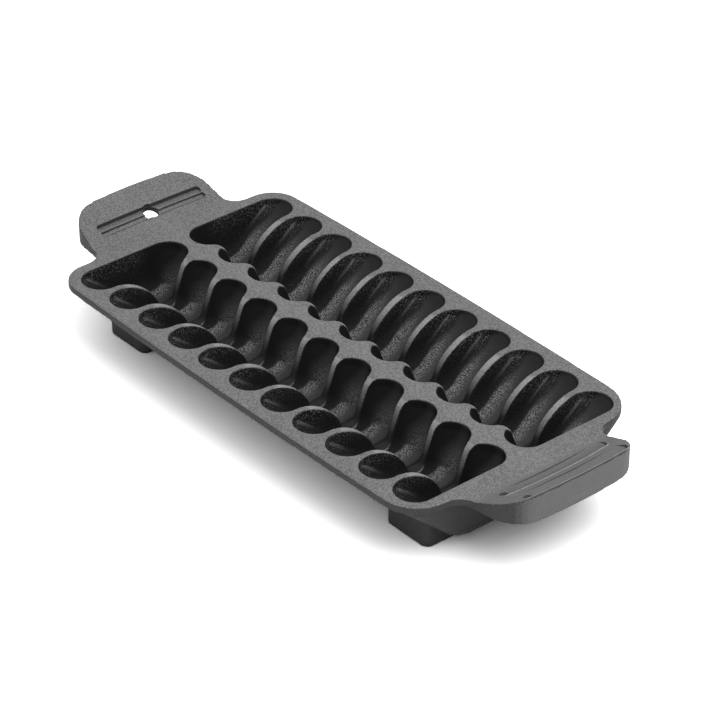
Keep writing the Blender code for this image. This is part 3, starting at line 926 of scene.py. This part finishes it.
def add_grip_places(p):
    """Adds how far x lies past the outer lips of the right grip's grooves and past the inner
    edge of the left grip's, and 1 along the grooves' length."""
    along = (p.y - GROOVE_SHIFT) * (1 / GROOVE_HALF_LENGTH)
    bulge = 1 - along * along
    p.first_lip, p.second_lip = [p.x - (DECK_END + out + half + bow * bulge)
                                 for _, out, half, bow, *_ in GROOVES[:2]]
    _, out, half, bow, *_ = GROOVES[-1]
    p.left_edge = p.x + (DECK_END + out - half + bow * bulge)
    p.on_groove = fading(size_of(along), 0.93, 0.99)
    p.topside = smooth_step(p.up, -0.30, 0.10)
    # The grips' ends get painted light, and no painted shade.
    p.grip_end = (smooth_step(size_of(p.x), *(DECK_END + out for out in GRIP_END_START))
                  * smooth_step(size_of(p.side), 0.65, 1.0))


def in_dimples(p):
    """1 in the dimples at the grooves' front ends."""
    found = 0
    for out, y in DIMPLES:
        right, back = p.x - (DECK_END + out), p.y - y
        away = Field.maths("SQRT", right * right + back * back)
        found = fading(away, BALL_RADIUS * 0.55, BALL_RADIUS * 0.95) + found
    return found


def painted_shade_and_band(p):
    """Painted shade on the sides, underside, groove beds and dimples, and a darker band past the
    second lip.
    """
    # Painted shade on the sides and underside, along the left groove's step, in the right grooves'
    # beds
    # and in the dimples. The band past the second lip is just darker.
    below = (1 - p.cells) * fading(p.up, 0.30, 0.80) * (1 - 0.95 * p.grip_end)
    ledge = smooth_step(p.second_lip, 0.0006, 0.0010) * smooth_step(p.up, *UPWARDS)
    left_step_shade = fading(size_of(p.left_edge - 0.0002), 0.0002, 0.0006) * p.on_groove
    bed = (smooth_step(p.first_lip, -0.0080, -0.0030) * fading(p.first_lip, -0.0004, 0.0)
           * p.on_groove)
    hollows = (0.7 * left_step_shade + 0.3 * bed + 0.9 * in_dimples(p)) * p.topside
    return (0.85 * below + 0.8 * ledge + hollows).clamped()


def worn_lip_highlights(p):
    """Worn lips with a painted highlight: the first lip of the right grip most, the second half as
    much.
    """
    lips = (1.5 - smooth_step(size_of(p.first_lip), *LIP_WIDTH)
            - 0.5 * smooth_step(size_of(p.second_lip), *LIP_WIDTH))
    return lips * p.on_groove * p.topside * (0.35 + 0.65 * smooth_step(p.specks, 0.40, 0.60))


# Painted shade on the right handle's ramp, which slopes away from the lamp.
def shaded_ramp(p):
    return (smooth_step(p.x, *(DECK_END + out for out in RAMP_FADE))
            * smooth_step(p.up, *UPWARDS))


print("masks ready")

# %% [markdown]
# The colour is laid on in layers, from the bare iron to what is rubbed off last. All layers
# are greys with a trace of blue.

# %% Cast iron material
IRON_DARK = (0.100, 0.100, 0.102, 1)
IRON_LIGHT = (0.245, 0.245, 0.248, 1)
# Painted shade on the right handle's ramp.
RAMP_SHADE = (0.120, 0.120, 0.122, 1)
# Painted light on the grips' ends.
GRIP_END_LIGHT = (0.165, 0.165, 0.167, 1)
# Painted shade on the sides, the underside and the grips' hollows.
SHADE_GREY = (0.045, 0.045, 0.046, 1)
# Seasoning in the cells, with painted shade.
CELL_SEASONING_AND_SHADE = (0.055, 0.055, 0.056, 1)
# Seasoning black, also used for painted shade.
SEASONED_BLACK_AND_SHADE = (0.016, 0.016, 0.017, 1)
# Painted highlights on the black walls.
PAINTED_GLINT = (0.320, 0.320, 0.323, 1)
# Sand grain with a painted sheen where the floors face the lamp.
SAND_SHEEN_DARK = (0.025, 0.025, 0.026, 1)
SAND_SHEEN_LIGHT = (0.260, 0.260, 0.263, 1)
# Rubbed crests, with painted light.
RUBBED_AND_LIT_DARK = (0.240, 0.240, 0.243, 1)
RUBBED_AND_LIT = (0.400, 0.400, 0.405, 1)
# Worn lips with a painted highlight.
WORN_LIP_HIGHLIGHT = (0.650, 0.650, 0.655, 1)
RELIEF_HEIGHT = 0.0004


def iron_colour(p, lit_sand):
    """The layers of colour, one over the other."""
    tone = (0.30 * p.blotches + 0.70 * smooth_step(p.grain, 0.34, 0.66)).clamped()
    lit_sand_colour = mixed(smooth_step(p.specks, 0.38, 0.62), SAND_SHEEN_DARK, SAND_SHEEN_LIGHT)
    colour = mixed(tone, IRON_DARK, IRON_LIGHT)
    for share, layer in (
            (0.6 * shaded_ramp(p), RAMP_SHADE), (0.8 * p.grip_end, GRIP_END_LIGHT), (painted_shade_and_band(p), SHADE_GREY),
            (0.85 * p.cells, CELL_SEASONING_AND_SHADE), (black_walls_and_shade(p), SEASONED_BLACK_AND_SHADE),
            (painted_glints(p), PAINTED_GLINT), (lit_sand, lit_sand_colour),
            (rubbed_and_lit_crests(p), mixed(tone, RUBBED_AND_LIT_DARK, RUBBED_AND_LIT)), (worn_lip_highlights(p), WORN_LIP_HIGHLIGHT)):
        colour = mixed(share, colour, layer)
    return colour


def cast_iron():
    material = bpy.data.materials.new("cast_iron")
    material.use_nodes = True
    Field.tree = material.node_tree
    shader = Field.tree.nodes["Principled BSDF"]
    p = measured()
    add_walls(p)
    add_grip_places(p)
    lit_sand = sand_with_painted_sheen(p)
    relief = 0.6 * p.grain + 0.4 * p.pits + (0.10 + 0.60 * lit_sand) * p.specks
    bump = Field.node("ShaderNodeBump", Strength=0.6, Distance=RELIEF_HEIGHT, Height=relief)
    rough = 0.34 + 0.20 * p.grain + 0.08 * p.blotches + 0.22 * p.cells
    for place, value in (("Base Color", iron_colour(p, lit_sand)), ("Roughness", rough),
                         ("Normal", bump)):
        Field.tree.links.new(value.socket, shader.inputs[place])
    shader.inputs["Metallic"].default_value = 0.4
    shader.inputs["Specular IOR Level"].default_value = 0.15
    return material


pan.data.materials.clear()
pan.data.materials.append(cast_iron())
select_only(pan)
bpy.ops.object.shade_smooth_by_angle(angle=math.radians(40))
apply(pan, "WEIGHTED_NORMAL", keep_sharp=True, weight=90)
pan.name = "pan_casting"
pan.data.name = "pan_casting"
print("material nodes:", len(Field.tree.nodes))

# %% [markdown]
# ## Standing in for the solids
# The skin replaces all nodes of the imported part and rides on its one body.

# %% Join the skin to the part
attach(pan, "root")
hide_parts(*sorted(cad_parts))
print("stands for", len(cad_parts), "nodes")

# %% [markdown]
# ## Floor and light
# A white table in a white studio. The floor is white paint that the camera sees overexposed, as
# in a catalogue picture, so that only the dark heart of the pan's shadow is left. One large
# lamp hangs high on the right: it leaves the long front side dark and lights the right handle's
# end, and the iron's colour adds painted shade on the sides and painted light on the grips' ends.
# The rest comes from the studio itself, bright at the ceiling and dim at the horizon. What the
# camera sees past the floor, and what the iron mirrors, is plain white.

# %% Floor
FLOOR_PAINT = (0.95, 0.95, 0.95, 1)
FLOOR_SEEN = (1.90, 1.90, 1.90, 1)       # as the camera exposes it
FLOOR_SIZE = 12
FLOOR_GAP = 0.0001                       # keeps the floor clear of the feet


def add_floor():
    bpy.ops.object.select_all(action="DESELECT")
    bpy.ops.mesh.primitive_plane_add(size=FLOOR_SIZE, location=(0, 0, -FLOOR_GAP))
    floor = bpy.context.object
    floor.name = "floor"
    bpy.ops.object.transform_apply(location=True)
    material = bpy.data.materials.new("white_floor")
    material.use_nodes = True
    Field.tree = material.node_tree
    shader = Field.tree.nodes["Principled BSDF"]
    seen = [Field.node("ShaderNodeLightPath", output=name)
            for name in ("Is Camera Ray", "Is Transmission Ray")]
    paint = mixed(seen[0] + seen[1], FLOOR_PAINT, FLOOR_SEEN)
    Field.tree.links.new(paint.socket, shader.inputs["Base Color"])
    shader.inputs["Roughness"].default_value = 0.9
    shader.inputs["Specular IOR Level"].default_value = 0.0
    floor.data.materials.append(material)


add_floor()
print("floor ready")

# %% Lamp and sky
KEY_PLACE = (0.75, 0.10, 1.25)
KEY_SIZE = 1.1
KEY_POWER = 8
SKY_LOW, SKY_HIGH = 0.05, 1.15           # light of the studio's walls and of its ceiling


def add_lamp(name, place, size, power):
    """A square area lamp that faces the pan."""
    bpy.ops.object.select_all(action="DESELECT")
    bpy.ops.object.light_add(type="AREA", location=place)
    lamp = bpy.context.object
    lamp.name = name
    lamp.data.shape = "SQUARE"
    lamp.data.size = size
    lamp.data.energy = power
    lamp.rotation_euler = (-Vector(place)).to_track_quat("-Z", "Y").to_euler()
    return lamp


def add_sky():
    world = bpy.data.worlds.new("studio")
    bpy.context.scene.world = world
    world.use_nodes = True
    Field.tree = world.node_tree
    background = Field.tree.nodes["Background"]
    background.inputs["Color"].default_value = (1, 1, 1, 1)
    height = split(Field.node("ShaderNodeTexCoord", output="Generated"))[2]
    sky = SKY_LOW + (SKY_HIGH - SKY_LOW) * smooth_step(height, 0.05, 0.95)
    camera, glossy, through = [
        Field.node("ShaderNodeLightPath", output=name)
        for name in ("Is Camera Ray", "Is Glossy Ray", "Is Transmission Ray")]
    white = (camera + glossy + through).clamped()
    Field.tree.links.new((sky * (1 - white) + white).socket, background.inputs["Strength"])


add_lamp("key", KEY_PLACE, KEY_SIZE, KEY_POWER)
add_sky()
bpy.context.scene.view_settings.view_transform = "Standard"
